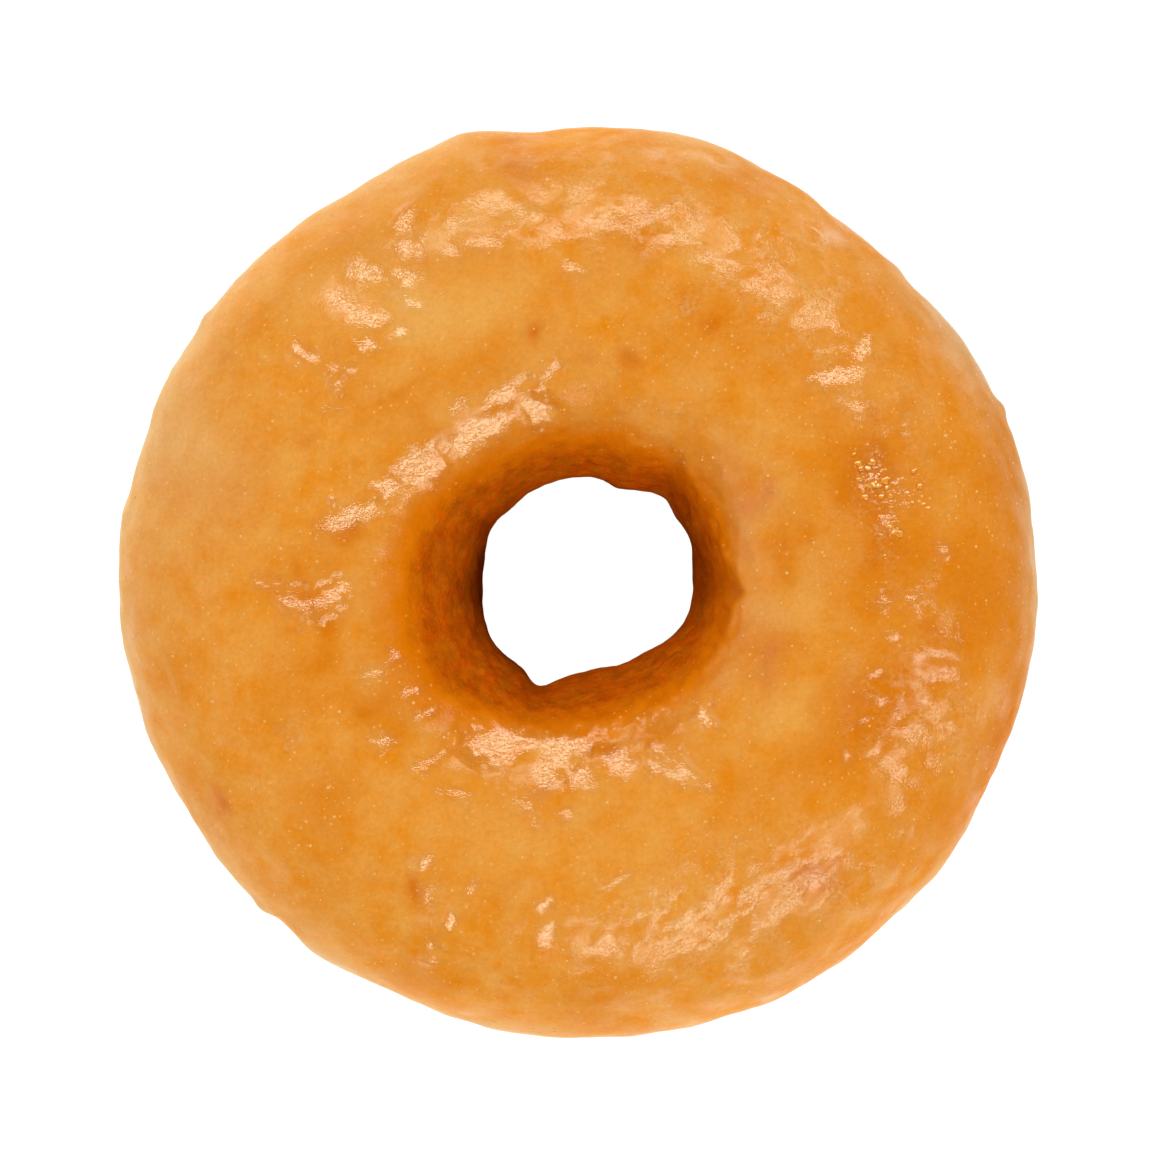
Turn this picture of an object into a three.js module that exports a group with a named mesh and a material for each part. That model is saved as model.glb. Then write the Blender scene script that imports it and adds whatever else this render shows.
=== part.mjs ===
// A yeast-raised ring doughnut, fried and glazed: one solid ring of dough round an open hole.
// Units are millimetres and +Z is up. The origin is under the middle of the ring, on the surface
// that it rests on. Azimuths are in degrees from +X towards +Y.
import * as THREE from "three";

// Driving sizes.
const OUTER_RADIUS = 45.7; // the outer edge, before its lumps
const HOLE_RADIUS = 10.7; // the narrowest part of the hole, before its lumps
const HOLE_OFF_CENTRE = new THREE.Vector2(0.7, -0.1); // the dough ring was stretched to one side
const BELLY_HEIGHT = 14.6; // the widest line, where the dough floated in the oil
const CROWN_HEIGHT = 31.2; // the top of the ring
const FOOT_CUT = 0.7; // how much of the round underside is pressed flat by its own weight

// The section's four quarters are superellipses: 2 is an ellipse, and more is squarer.
const OUTER_SHOULDER = 2.15;
const HOLE_SHOULDER = 2.4;
const UNDERSIDE = 2.45;

// How finely the ring is divided: along its length, and round its section.
const RING_STEPS = 132;
const SECTION_STEPS = 36;

// Lumps by azimuth: [where, how far out in mm, half-width in degrees].
const RIM_LUMPS = [
  [48, -1.15, 16],
  [73, 0.3, 6],
  [95, -0.35, 4],
  [105, 0.7, 6],
  [122, -0.25, 7],
  [143, 0.25, 8],
  [155, 0.35, 4],
  [177, 0.55, 15],
  [212, -0.25, 9],
  [227, -0.35, 4],
  [247, -0.5, 14],
  [301, 0.55, 14],
  [322, 0.3, 6],
  [345, 0.15, 12],
];
const HOLE_LUMPS = [
  [22, 0.4, 12],
  [44, 0.8, 9],
  [68, -0.6, 9],
  [148, 0.3, 9],
  [172, -0.15, 9],
  [212, 0.35, 14],
  [248, 1.0, 8],
  [284, -1.9, 26],
  [316, -0.9, 18],
];
const CROWN_LUMPS = [
  [28, 0.35, 32],
  [112, -0.45, 26],
  [196, 0.3, 30],
  [292, -0.4, 24],
];
// How the shoulder above the hole changes round the ring: a soft roll on one side, and a tight
// edge on the other. [where, change of HOLE_SHOULDER, half-width in degrees].
const SHOULDER_CHANGES = [
  [182, -0.35, 50],
  [-8, 0.7, 38],
];

// On the +X side the wall of the hole is a straight slope, ended at the top by a rounded fold.
// Seen from above the fold is a straight line that stops at a soft corner.
const FOLD_TURN = 21; // which way the line faces, in degrees
const FOLD_DISTANCE = 13.5; // from the middle of the hole to the line
const FOLD_CORNER = -24; // where the corner lies, counted from the turn
const FOLD_END = 30; // where the line ends, counted the other way
const FOLD_STEP = 0.5; // how far the edge steps in, past the corner
const FOLD_STEP_SPAN = 16; // over how many degrees it does so
const FOLD_HEIGHT = 27.4;
const FOLD_ROUNDING = 0.9;
// Where the fold fades into the round shoulder on each side: [none of it, all of it].
const FOLD_FADE_AT_END = [FOLD_END + 22, FOLD_END - 12];
const FOLD_FADE_AT_CORNER = [FOLD_CORNER - 38, FOLD_CORNER - 4];

// Shallow hollows in the top: [x, y, depth, half-width], in mm.
const TOP_HOLLOWS = [
  [-20, 29, 0.45, 6],
  [-5, 38, 0.35, 5],
  [24, 29, 0.35, 7],
  [30, 12, 0.5, 4],
  [33, -16, 0.45, 6],
  [18, -31, 0.4, 7],
  [-27, -3, 0.35, 5],
  [-3, -20, 0.35, 5],
];

const GLAZED_CRUST = new THREE.MeshStandardMaterial({
  color: new THREE.Color().setRGB(0.9, 0.57, 0.19, THREE.SRGBColorSpace),
  roughness: 0.32,
  metalness: 0,
});

// A smooth hump: 1 at its middle, and about a third at its half-width.
function hump(distance, halfWidth) {
  return Math.exp(-((distance / halfWidth) ** 2));
}

// How far one azimuth is from another, counted the short way round the ring.
function awayFrom(azimuth, where) {
  return THREE.MathUtils.euclideanModulo(azimuth - where + 180, 360) - 180;
}

// The sum of a list of lumps at one azimuth.
function lumpsAt(azimuth, lumps) {
  return lumps.reduce(
    (sum, [where, height, halfWidth]) => sum + height * hump(awayFrom(azimuth, where), halfWidth),
    0,
  );
}

// Goes smoothly from 0 at one value to 1 at another, whichever of the two is larger.
function fade(value, [none, all]) {
  return THREE.MathUtils.smoothstep((value - none) / (all - none), 0, 1);
}

// How much the fold cuts off the shoulder above the hole. The wall below the fold is a straight
// slope, from the narrowest part of the hole up to the fold's line.
function foldCut(azimuth, radius, inside, stretch, z) {
  const offLine = awayFrom(azimuth, FOLD_TURN);
  const onLine = THREE.MathUtils.clamp(offLine, FOLD_CORNER, FOLD_END);
  const step = FOLD_STEP * fade(offLine, [FOLD_CORNER, FOLD_CORNER - FOLD_STEP_SPAN]);
  const foldAt = FOLD_DISTANCE / Math.cos(THREE.MathUtils.degToRad(onLine)) + stretch - step;
  const rise = (FOLD_HEIGHT - BELLY_HEIGHT) / (foldAt - inside);
  const gap = z - (BELLY_HEIGHT + rise * (radius - inside));
  const cut = (gap + Math.hypot(gap, FOLD_ROUNDING) - FOLD_ROUNDING) / 2;
  const share = fade(offLine, FOLD_FADE_AT_END) * fade(offLine, FOLD_FADE_AT_CORNER);
  return share * Math.max(cut, 0);
}

// A superellipse's coordinate for a cosine or a sine.
function squared(share, exponent) {
  return Math.sign(share) * Math.abs(share) ** (2 / exponent);
}

// How far the hollows sink the top at a point seen from above.
function hollowsAt(x, y) {
  return TOP_HOLLOWS.reduce(
    (sum, [atX, atY, depth, halfWidth]) => sum + depth * hump(Math.hypot(x - atX, y - atY), halfWidth),
    0,
  );
}

// The point of the ring's surface at an azimuth and at an angle round the section, both in
// degrees. The section angle is 0 at the outer edge, 90 at the crown and 180 in the hole.
function ringPoint(azimuth, sectionAngle) {
  const turn = THREE.MathUtils.degToRad(azimuth);
  const around = THREE.MathUtils.degToRad(sectionAngle);
  const towards = new THREE.Vector2(Math.cos(turn), Math.sin(turn));
  const outside = OUTER_RADIUS + lumpsAt(azimuth, RIM_LUMPS);
  const stretch = towards.dot(HOLE_OFF_CENTRE);
  const inside = HOLE_RADIUS + lumpsAt(azimuth, HOLE_LUMPS) + stretch;
  const middle = (outside + inside) / 2;
  const halfWidth = (outside - inside) / 2;
  const isTop = Math.sin(around) > 0;
  const isHoleSide = Math.cos(around) < 0;

  const topExponent = isHoleSide
    ? HOLE_SHOULDER + lumpsAt(azimuth, SHOULDER_CHANGES)
    : OUTER_SHOULDER;
  const exponent = isTop ? topExponent : UNDERSIDE;
  const crown = CROWN_HEIGHT + lumpsAt(azimuth, CROWN_LUMPS);
  const halfHeight = isTop ? crown - BELLY_HEIGHT : BELLY_HEIGHT + FOOT_CUT;

  const radius = middle + halfWidth * squared(Math.cos(around), exponent);
  const x = radius * towards.x;
  const y = radius * towards.y;
  const sunk = isTop ? hollowsAt(x, y) * Math.sin(around) : 0;
  const z = BELLY_HEIGHT + halfHeight * squared(Math.sin(around), exponent) - sunk;
  const cut = isTop && isHoleSide ? foldCut(azimuth, radius, inside, stretch, z) : 0;
  return new THREE.Vector3(x, y, Math.max(z - cut, 0));
}

// The ring: a torus whose every vertex is carried to its place on the real section. It is then
// centred over the origin, because the lumps move the middle of its outline a little.
function makeDoughnut() {
  const ring = new THREE.TorusGeometry(1, 0.5, SECTION_STEPS, RING_STEPS);
  const { position, uv } = ring.attributes;
  for (let i = 0; i < position.count; i += 1) {
    const point = ringPoint((uv.getX(i) % 1) * 360, (uv.getY(i) % 1) * 360);
    position.setXYZ(i, point.x, point.y, point.z);
  }
  ring.computeBoundingBox();
  const middle = ring.boundingBox.getCenter(new THREE.Vector3());
  ring.translate(-middle.x, -middle.y, 0);
  ring.computeVertexNormals();

  const doughnut = new THREE.Mesh(ring, GLAZED_CRUST);
  doughnut.name = "doughnut";
  return doughnut;
}

const ringDoughnut = new THREE.Group();
ringDoughnut.add(makeDoughnut());

export default ringDoughnut;
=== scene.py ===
import bpy
import numpy as np
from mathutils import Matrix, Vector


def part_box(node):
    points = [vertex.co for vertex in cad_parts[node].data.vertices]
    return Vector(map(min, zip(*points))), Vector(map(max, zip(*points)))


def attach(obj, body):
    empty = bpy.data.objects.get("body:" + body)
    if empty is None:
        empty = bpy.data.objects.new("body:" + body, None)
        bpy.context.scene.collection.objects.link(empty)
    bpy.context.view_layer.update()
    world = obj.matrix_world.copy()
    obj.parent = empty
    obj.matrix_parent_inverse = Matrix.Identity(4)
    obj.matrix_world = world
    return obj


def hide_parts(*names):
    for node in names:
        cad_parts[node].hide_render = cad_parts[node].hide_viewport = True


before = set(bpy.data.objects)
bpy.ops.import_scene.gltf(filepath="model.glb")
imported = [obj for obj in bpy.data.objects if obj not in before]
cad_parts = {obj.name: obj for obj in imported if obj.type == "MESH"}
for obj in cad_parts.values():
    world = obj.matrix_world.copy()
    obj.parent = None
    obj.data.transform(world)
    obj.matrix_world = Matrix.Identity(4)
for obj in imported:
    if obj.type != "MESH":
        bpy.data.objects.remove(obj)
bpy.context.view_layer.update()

# ------------------------------------------------------------
# The crust. One ring of yeast dough, proofed, fried on both sides until golden, then dipped in
# thin clear sugar glaze and drained on a rack. It is a single closed skin, and its lumps, flats,
# creases and nibs are real shape. Lengths here are millimetres until the mesh is made.
# ------------------------------------------------------------
MM = 0.001

OUTER_RADIUS = 45.6
HOLE_RADIUS = 10.7
HOLE_OFF_CENTRE = (0.7, -0.1)
BELLY_HEIGHT = 14.6
CROWN_HEIGHT = 30.95
FOOT_CUT = 0.7
OUTER_SHOULDER = 2.15
HOLE_SHOULDER = 2.4
UNDERSIDE = 2.45

# Lumps by azimuth: where in degrees, how far out in mm, and half-width in degrees.
RIM_LUMPS = [
    (48, -1.15, 16), (73, 0.3, 6), (95, -0.35, 4), (105, 0.7, 6), (122, -0.25, 7),
    (143, 0.25, 8), (155, 0.35, 4), (177, 0.55, 15), (212, -0.25, 9), (227, -0.35, 4),
    (247, -0.5, 14), (301, 0.55, 14), (322, 0.3, 6), (345, 0.15, 12),
]
HOLE_LUMPS = [
    (22, 0.4, 12), (44, 0.8, 9), (68, -0.6, 9), (148, 0.3, 9), (172, -0.15, 9),
    (212, 0.35, 14), (248, 1.0, 8), (284, -1.9, 26), (316, -0.9, 18),
]
CROWN_LUMPS = [(28, 0.35, 32), (112, -0.45, 26), (196, 0.3, 30), (292, -0.4, 24)]
SHOULDER_CHANGES = [(182, -0.35, 50), (-8, 0.7, 38)]

# Shallow hollows in the top: x, y, depth and half-width.
TOP_HOLLOWS = [
    (-20, 29, 0.45, 6), (-5, 38, 0.35, 5), (24, 29, 0.35, 7), (30, 12, 0.5, 4),
    (33, -16, 0.45, 6), (18, -31, 0.4, 7), (-27, -3, 0.35, 5), (-3, -20, 0.35, 5),
]

# On the right the wall of the hole is a straight slope, cut off at the top by a sharp fold. Seen
# from above the fold is a straight line that stops at a corner. Turns are in degrees.
FOLD_TURN = 21.0  # which way the line faces
FOLD_DISTANCE = 13.5  # from the middle of the hole to the line
FOLD_CORNER = -24.0  # where the corner lies, counted from the turn
FOLD_END = 30.0  # where the line ends, counted the other way
FOLD_STEP = 0.7  # how far the edge steps in, past the corner
FOLD_STEP_SPAN = 6.0  # over how many degrees it does so
FOLD_HEIGHT = 27.4
FOLD_ROUNDING = 0.3
# Where the fold fades into the round shoulder on each side: none of it, and all of it.
FOLD_FADE_AT_END = (FOLD_END + 14, FOLD_END - 4)
FOLD_FADE_AT_CORNER = (FOLD_CORNER - 38, FOLD_CORNER - 12)

COLUMNS = 560  # quads along the ring
ROWS = 178  # quads round its section
TOP_SHARE = 0.78  # how many of the rows are above the widest line
MEASURED_AT = 90.0  # the azimuth of the section that is measured, to share the rows out
MEASURED_STEPS = 7200


def hump(distance, half_width):
    """A smooth hump: e to the power of minus the square of the distance in half-widths.

    It is 1 at its middle, and about a third at its half-width."""
    return np.exp(-((distance / half_width) ** 2))


def away_from(azimuth, where):
    """How far each azimuth is from another, counted the short way round the ring."""
    return (azimuth - where + 180) % 360 - 180


def lumps_at(azimuth, lumps):
    """The sum of a list of lumps at each azimuth, each a height times a smooth hump."""
    total = np.zeros_like(azimuth)
    for where, height, half_width in lumps:
        total += height * hump(away_from(azimuth, where), half_width)
    return total


def squared(share, exponent):
    """A superellipse's coordinate: a cosine or a sine to the power of 2 over the exponent."""
    return np.sign(share) * np.abs(share) ** (2 / exponent)


def smooth_step(low, high, value):
    """Goes from 0 at low to 1 at high: three times the square of the way, less twice its cube."""
    share = np.clip((value - low) / (high - low), 0, 1)
    return share * share * (3 - 2 * share)


def ring_form(azimuth, section_angle):
    """The plain form of the ring: four quarters of superellipses round a stretched circle.

    Both angles are in degrees. The section angle is 0 at the outer edge, 90 at the crown and
    180 in the hole. The lumps push the outline, the hole, the crown and the shoulder about."""
    turn, around = np.radians(azimuth), np.radians(section_angle)
    across, up = np.cos(around), np.sin(around)
    outside = OUTER_RADIUS + lumps_at(azimuth, RIM_LUMPS)
    stretch = np.cos(turn) * HOLE_OFF_CENTRE[0] + np.sin(turn) * HOLE_OFF_CENTRE[1]
    inside = HOLE_RADIUS + lumps_at(azimuth, HOLE_LUMPS) + stretch
    middle, half_width = (outside + inside) / 2, (outside - inside) / 2
    is_top, is_hole_side = up > 0, across < 0

    shoulder = HOLE_SHOULDER + lumps_at(azimuth, SHOULDER_CHANGES)
    exponent = np.where(is_top, np.where(is_hole_side, shoulder, OUTER_SHOULDER), UNDERSIDE)
    crown = CROWN_HEIGHT + lumps_at(azimuth, CROWN_LUMPS)
    half_height = np.where(is_top, crown - BELLY_HEIGHT, BELLY_HEIGHT + FOOT_CUT)

    radius = middle + half_width * squared(across, exponent)
    x, y = radius * np.cos(turn), radius * np.sin(turn)
    sunk = sum(depth * hump(np.hypot(x - at_x, y - at_y), size)
               for at_x, at_y, depth, size in TOP_HOLLOWS)
    z = BELLY_HEIGHT + half_height * squared(up, exponent) - sunk * np.clip(up, 0, 1)

    # The fold: what stands above a straight slope, from the narrowest part of the hole up to the
    # fold's line, is cut off, with a small rounding where the two meet.
    off_line = away_from(azimuth, FOLD_TURN)
    fold_at = FOLD_DISTANCE / np.cos(np.radians(np.clip(off_line, FOLD_CORNER, FOLD_END)))
    fold_at += stretch - FOLD_STEP * smooth_step(FOLD_CORNER, FOLD_CORNER - FOLD_STEP_SPAN,
                                                 off_line)
    wall = BELLY_HEIGHT + (FOLD_HEIGHT - BELLY_HEIGHT) * (radius - inside) / (fold_at - inside)
    gap = z - wall
    cut = (gap + np.sqrt(gap**2 + FOLD_ROUNDING**2) - FOLD_ROUNDING) / 2
    fold = smooth_step(*FOLD_FADE_AT_END, off_line) * smooth_step(*FOLD_FADE_AT_CORNER, off_line)
    z = z - np.where(is_top & is_hole_side, fold * np.maximum(cut, 0), 0)
    return np.stack([x, y, np.maximum(z, 0)], axis=-1)


def even_section_angles():
    """Section angles that step evenly along the skin, closer together above the widest line.

    The length along one section is summed in small steps and then shared out."""
    fine = np.linspace(0, 360, MEASURED_STEPS + 1)
    section = ring_form(np.full_like(fine, MEASURED_AT), fine)
    step = np.linalg.norm(np.diff(section, axis=0), axis=1)
    length = np.concatenate([[0], np.cumsum(step)])
    top_rows = round(ROWS * TOP_SHARE)
    half = length[len(fine) // 2]
    top = np.interp(np.arange(top_rows) / top_rows * half, length, fine)
    under_share = np.arange(ROWS - top_rows) / (ROWS - top_rows)
    under = np.interp(half + under_share * (length[-1] - half), length, fine)
    return np.concatenate([top, under])


WAVES = 48
WAVELENGTH_SPREAD = (0.7, 1.4)  # the shortest and the longest, as shares of the one asked for


def wave_field(points, wavelength, seed, stretch=(1, 1, 1)):
    """Lumpiness: the sum of the cosines of many plane waves, over the root of how many there are.

    They run every way, their wavelengths are about the one asked for, and the seed draws them and
    their phases. The values are mostly between -1 and 1. A stretch draws the lumps out along X, Y
    or Z."""
    draw = np.random.default_rng(seed)
    heading = draw.normal(size=(WAVES, 3))
    heading /= np.linalg.norm(heading, axis=1, keepdims=True)
    cycles = heading / (wavelength * draw.uniform(*WAVELENGTH_SPREAD, (WAVES, 1)))
    phase = draw.uniform(0, 1, WAVES)
    turns = (points / np.asarray(stretch)) @ cycles.T + phase
    return np.cos(2 * np.pi * turns).sum(axis=-1) / np.sqrt(WAVES)


def grid_normals(points):
    """Outward unit normals of a grid that closes on itself both ways, from central differences."""
    along = np.roll(points, -1, axis=0) - np.roll(points, 1, axis=0)
    round_section = np.roll(points, -1, axis=1) - np.roll(points, 1, axis=1)
    normal = np.cross(along, round_section)
    return normal / np.maximum(np.linalg.norm(normal, axis=-1, keepdims=True), 1e-9)


def window(points, x, y, half_length, half_width, turn, sharpness=1.0):
    """A long soft window seen from above: 1 in its middle, fading to a third at its edge.

    It is a hump whose distance is an ellipse's, made steeper at its edge by the sharpness."""
    cosine, sine = np.cos(np.radians(turn)), np.sin(np.radians(turn))
    off_x, off_y = points[..., 0] - x, points[..., 1] - y
    along = (off_x * cosine + off_y * sine) / half_length
    across = (off_y * cosine - off_x * sine) / half_width
    return np.exp(-((along**2 + across**2) ** sharpness))


# Two shares that come in with height, the first for flats and dents and the second for patches.
# This and every other span is in mm: where there is none of a thing, and where there is all.
HIGH_UP = (20, 24)
ON_TOP = (16, 22)

azimuth, section_angle = np.meshgrid(np.arange(COLUMNS) * 360 / COLUMNS, even_section_angles(),
                                     indexing="ij")
plain = ring_form(azimuth, section_angle)
plain_z = plain[..., 2]
from_hole = np.hypot(plain[..., 0] - HOLE_OFF_CENTRE[0], plain[..., 1] - HOLE_OFF_CENTRE[1])
high_up = smooth_step(*HIGH_UP, plain_z)
on_top = smooth_step(*ON_TOP, plain_z)


def spots_at(points, spots):
    """The sum of soft round spots seen from above: x, y, half-width and strength."""
    return sum(strength * hump(np.hypot(points[..., 0] - x, points[..., 1] - y), size)
               for x, y, size, strength in spots)


def uneven(points, strength, size, seed):
    """Lumps of one size, times their strength."""
    return strength * wave_field(points, size, seed)


# Where a dry skin has crept into a fine paper crinkle, with a soft sheen. It lies in islands.
# What makes anything uneven is a set of lumps: their strength, their size in mm and a seed.
PAPER_UNEVEN = (0.15, 6, 38)
PAPER_WARP = 2  # how closely it follows the warp that pushes the edges of patches about
ISLANDS = [(1.0, 3.0, 44), (0.4, 1.4, 45)]
ISLAND_EDGE = (-0.45, 0.15)  # the values of those lumps between which an island comes in
PAPER_BETWEEN = 0.2  # how much of the crinkle is left between the islands
PAPER_SPOTS = [
    (-8, 36, 6.0, 0.55), (3, 36, 7.0, 0.65), (13, 32, 6.0, 0.75), (21, 27, 6.0, 1.0),
    (29, 17, 4.0, 0.6), (33, -13, 6.0, 0.9), (17, -30, 6.5, 1.0), (8, -34, 6.0, 0.9),
    (-3, -34, 4.0, 0.4), (-14, -31, 3.0, 0.5), (25, -27, 4.0, 0.6), (33, -3, 3.0, 0.4),
    (27, 5, 4.0, 0.4),
]
WARP_BY = 1.2  # mm by which the edges of all patches are pushed about
WARP_SIZE = 5

warp = np.stack([WARP_BY * wave_field(plain, WARP_SIZE, seed=31),
                 WARP_BY * wave_field(plain, WARP_SIZE, seed=32),
                 np.zeros_like(azimuth)], axis=-1)
paper = on_top * spots_at(plain + PAPER_WARP * warp, PAPER_SPOTS) + uneven(plain, *PAPER_UNEVEN)
islands = smooth_step(*ISLAND_EDGE, sum(uneven(plain, *lumps) for lumps in ISLANDS))
paper = np.clip(paper, 0, 1) * (PAPER_BETWEEN + (1 - PAPER_BETWEEN) * islands)

# Broad and small lumps all over: height in mm, size in mm, and seed.
SKIN_LUMPS = [(0.12, 9, 3), (0.055, 4.2, 5), (0.016, 1.8, 8)]
# The dry skin is quilted: domes a few millimetres across, parted by creases. The last value is
# how the domes are drawn out.
QUILTING = [(0.16, 3.6, 41, (1.5, 0.9, 1)), (0.05, 1.8, 42, (1.4, 0.9, 1))]
FOOT_FADE = 4.0  # below this height the lumps fade out, because the foot is pressed flat
# The wall of the hole is rougher, and its wrinkles run round it. They are laid out on a drum.
DRUM_RADIUS = 12.0
DRUM_SLANT = 0.8  # how much of a step outwards counts as a step up
WALL_RADII = (17, 13.5)
WALL_HEIGHTS = (5, 10)
WALL_FOLD_HEIGHT = 0.055
WALL_FOLD_SIZE = 2.2
WALL_FOLD_STRETCH = (2.5, 2.5, 1)
# Small wrinkles on the wall, deeper above the narrowest part, whose edge is smooth.
WRINKLE_SIZE = 1.3
WRINKLE_HEIGHT = 0.02
WRINKLE_HEIGHT_ABOVE = 0.055
ABOVE_NARROWEST = (15.5, 19)

skin = plain.copy()
relief = np.zeros_like(azimuth)
for lumps in SKIN_LUMPS:
    relief += uneven(plain, *lumps)
for height, size, seed, stretch in QUILTING:
    relief += height * paper * np.abs(wave_field(plain, size, seed, stretch))
wall_place = np.stack([DRUM_RADIUS * np.cos(np.radians(azimuth)),
                       DRUM_RADIUS * np.sin(np.radians(azimuth)),
                       plain_z + DRUM_SLANT * from_hole], axis=-1)
on_wall = smooth_step(*WALL_RADII, from_hole) * smooth_step(*WALL_HEIGHTS, plain_z)
wall_folds = wave_field(wall_place, WALL_FOLD_SIZE, seed=12, stretch=WALL_FOLD_STRETCH)
relief += WALL_FOLD_HEIGHT * on_wall * wall_folds
above = smooth_step(*ABOVE_NARROWEST, plain_z)
wrinkled = on_wall * (WRINKLE_HEIGHT + WRINKLE_HEIGHT_ABOVE * above)
relief += wrinkled * wave_field(plain, WRINKLE_SIZE, seed=13)
skin += grid_normals(plain) * (relief * np.clip(plain_z / FOOT_FADE, 0, 1))[..., None]

# Flats in the skin, each tilted one way: x, y, half-length, half-width and turn, by which way
# they tip, which is the rise of Z along X and along Y. In the wet flats the glaze lies smooth.
WET_FLATS = {
    (-0.24, 0.34): [
        (-22.3, 6.2, 3.2, 1.5, 25), (-17.8, 9.1, 1.9, 1.3, 30), (-15.3, 11.1, 2.5, 1.9, 32),
        (-9.4, 14.5, 3.8, 1.1, 25), (-4.0, 16.5, 1.4, 1.3, 55), (-6.8, 18.4, 3.0, 0.7, 31),
        (-3.4, 19.6, 2.0, 0.55, 37), (-11.7, 17.0, 0.9, 0.5, 25),
        (-14.8, -26.8, 0.9, 0.5, 45), (-14.4, -29.9, 1.0, 0.6, -60),
        (-12.4, -32.6, 0.9, 0.5, 50), (-10.4, -29.3, 0.6, 0.4, 50), (-3.3, -33.7, 1.0, 0.7, 30),
        (-3.2, -30.6, 0.7, 0.45, 30), (3.6, -28.5, 1.2, 0.45, 20), (-14.3, -35.4, 1.4, 0.6, 80),
    ],
    (-0.02, -0.42): [
        (-7.8, -15.5, 4.1, 1.9, 4), (-2.0, -16.1, 1.7, 1.5, 0), (-2.9, -18.5, 1.3, 1.2, 0),
        (0.0, -18.8, 1.2, 1.3, 0), (0.6, -15.4, 2.0, 0.6, 35), (3.8, -17.4, 1.0, 1.5, 0),
        (8.4, -16.3, 1.4, 0.8, 0), (9.0, -18.2, 2.3, 1.1, -8), (12.1, -12.9, 0.8, 1.0, 0),
        (-12.1, -20.1, 1.4, 0.7, -15), (-1.7, -22.3, 1.2, 0.6, -5), (-14.6, -17.3, 1.2, 0.6, 15),
        (-18.9, -15.3, 1.3, 0.6, 0), (12.4, -19.6, 0.6, 0.45, 0), (-5.3, -21.2, 1.6, 0.35, -52),
        (-4.2, -23.1, 0.6, 0.4, -20), (-27.7, -1.4, 1.7, 1.2, -25), (-25.8, -2.4, 1.9, 1.2, 0),
        (-23.6, -1.1, 2.1, 1.3, 35), (-29.8, -0.2, 1.2, 0.7, -15),
        (24.3, 19.7, 2.5, 1.3, 8), (27.0, 22.3, 1.4, 0.8, 50), (28.9, -1.8, 1.2, 0.65, 15),
        (32.1, -1.4, 1.1, 0.6, 5), (34.7, 3.1, 0.7, 0.5, 60), (-0.6, 30.1, 1.0, 0.4, -30),
        (-26.5, 21.9, 1.4, 0.8, -45), (-19.9, 22.5, 1.4, 0.7, -5), (-17.1, 23.9, 0.6, 0.45, 0),
        (-22.7, 20.1, 1.3, 0.4, 12), (-23.1, 18.9, 0.6, 0.4, -50), (-23.5, 16.7, 0.5, 0.4, 30),
    ],
    (-0.2, -0.42): [
        (-19.6, -8.8, 1.2, 0.5, 20), (-16.2, -10.4, 1.1, 0.5, 10), (-17.9, -7.2, 0.7, 0.35, 40),
        (-15.0, -12.6, 0.8, 0.35, -10), (-27.2, -15.2, 0.5, 0.35, 0), (-28.3, -14.1, 0.4, 0.3, 30),
    ],
    (0.16, -0.41): [
        (-16.7, 34.6, 2.1, 1.1, 72), (-17.2, 32.4, 1.0, 0.5, -70), (-15.5, 32.0, 1.0, 0.45, 80),
        (-21.1, 30.0, 1.7, 1.2, -30), (-19.2, 29.6, 0.8, 0.7, 0), (-16.8, 29.2, 1.2, 1.0, 0),
        (-22.5, 26.7, 1.7, 0.8, -38), (-16.9, 27.2, 1.5, 0.5, -40), (-21.0, 25.3, 1.4, 0.7, -55),
        (-19.1, 24.9, 1.1, 0.45, 10),
    ],
}
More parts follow.
